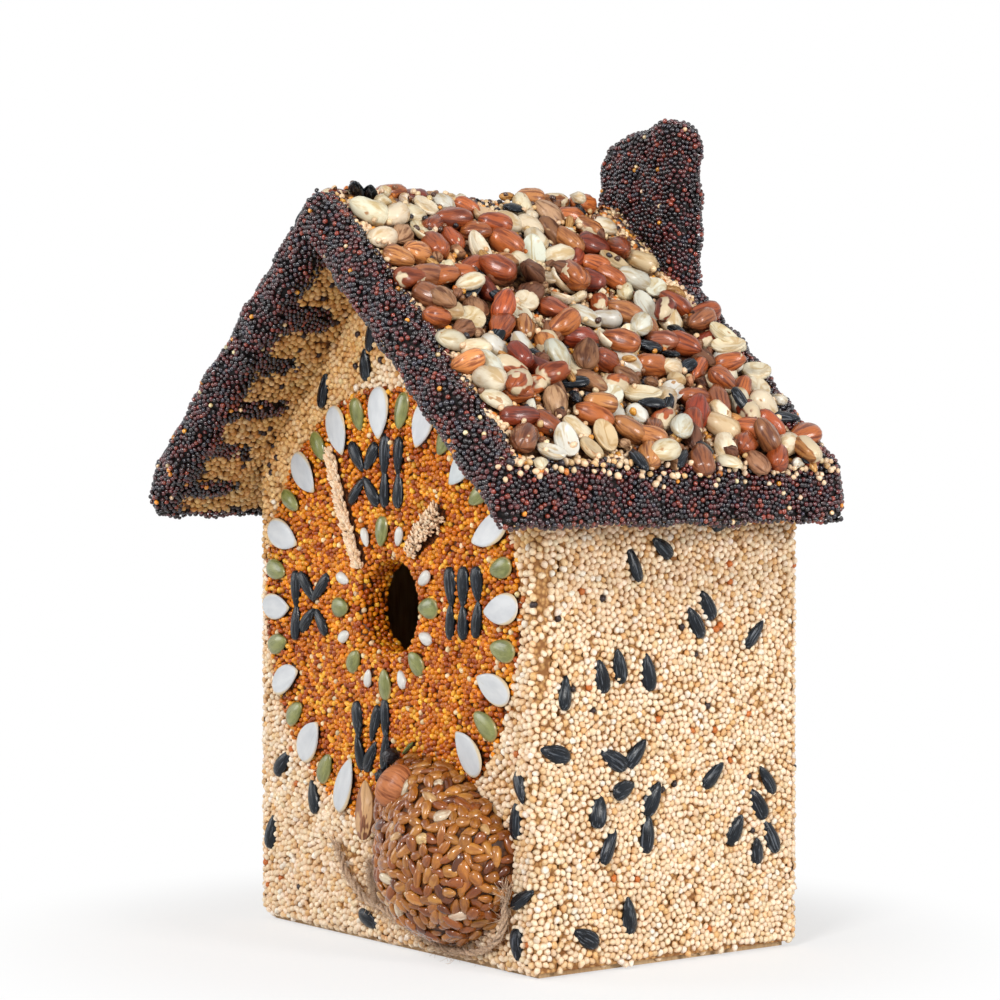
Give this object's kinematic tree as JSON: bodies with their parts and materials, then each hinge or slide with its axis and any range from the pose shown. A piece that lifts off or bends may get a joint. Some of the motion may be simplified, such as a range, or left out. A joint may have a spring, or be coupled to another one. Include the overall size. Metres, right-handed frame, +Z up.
{
  "type": "seed-covered birdhouse",
  "caption": "Gabled plywood nest box crusted with bird seed, with a seed clock face round its entrance hole, a seed mouse, a nut-covered roof, a chimney and a swinging clean-out cover.",
  "frame": {"origin": "on the resting plane, under the middle of the whole house", "axes": "+Z up; the clock face looks along -Y; +X is on the right of someone who faces the clock; -X is on the left"},
  "size_m": [0.207, 0.1457, 0.2829],
  "materials": {
    "plywood": "bare birch plywood, matte",
    "white_millet": "glazed seed crust, satin",
    "red_millet": "glazed red millet crust, glossy",
    "rapeseed": "near-black rapeseed crust, satin",
    "nut_bed": "mixed small seeds and nut crumbs, matte",
    "peanuts": "peanuts in and out of their red skins, satin",
    "sunflower_seed": "charcoal sunflower shells with faint stripes, satin",
    "pumpkin_seed": "white pumpkin seed shells, smooth satin",
    "hulled_pumpkin_seed": "olive green skins, satin",
    "safflower_seed": "white shells, glossy",
    "millet_spray": "millet sprays in pale husks, matte",
    "glazed_hearts": "caramel glazed seed hearts, glossy",
    "ear_kernel": "wrinkled brown kernels, satin",
    "dried_berry": "dried red berries, glossy",
    "jute": "laid jute twine, hairy and matte",
    "steel": "zinc-plated steel wire"
  },
  "bodies": {
    "house": {"front_panel": "plywood", "back_panel": "plywood", "left_wall": "plywood", "right_wall": "plywood", "floor_panel": "plywood", "left_roof_board": "plywood", "right_roof_board": "plywood", "chimney_board": "plywood", "front_millet_coat": "white_millet", "back_millet_coat": "white_millet", "left_wall_coat": "white_millet", "right_wall_coat": "white_millet", "left_soffit_coat": "white_millet", "right_soffit_coat": "white_millet", "clock_dial_coat": "red_millet", "front_rake_trim": "rapeseed", "back_rake_trim": "rapeseed", "left_eave_trim": "rapeseed", "right_eave_trim": "rapeseed", "chimney_coat": "rapeseed", "left_nut_bed": "nut_bed", "right_nut_bed": "nut_bed", "left_roof_nuts": "peanuts", "right_roof_nuts": "peanuts", "numeral_12": "sunflower_seed", "numeral_3": "sunflower_seed", "numeral_6": "sunflower_seed", "numeral_9": "sunflower_seed", "front_sunflower_seeds": "sunflower_seed", "right_wall_sunflower_seeds": "sunflower_seed", "left_wall_sunflower_seeds": "sunflower_seed", "back_sunflower_seeds": "sunflower_seed", "rake_sunflower_seeds": "sunflower_seed", "pumpkin_seed_ring": "pumpkin_seed", "outer_pepita_ring": "hulled_pumpkin_seed", "inner_pepita_ring": "hulled_pumpkin_seed", "safflower_ring": "safflower_seed", "minute_hand": "millet_spray", "hour_hand": "millet_spray", "mouse_body": "glazed_hearts", "mouse_near_ear": "ear_kernel", "mouse_far_ear": "ear_kernel", "mouse_berries": "dried_berry", "mouse_tail": "jute", "cleanout_screw": "steel", "gable_brads": "steel", "floor_brads": "steel", "roof_brads": "steel"},
    "cover": {"cleanout_cover": "plywood"}
  },
  "joints": [
    {"name": "cover_swing", "type": "hinge", "parent": "house", "child": "cover", "pos_m": [0, 0.001, 0.0062], "axis": [0, 0, 1], "range_deg": [-100, 100]}
  ]
}
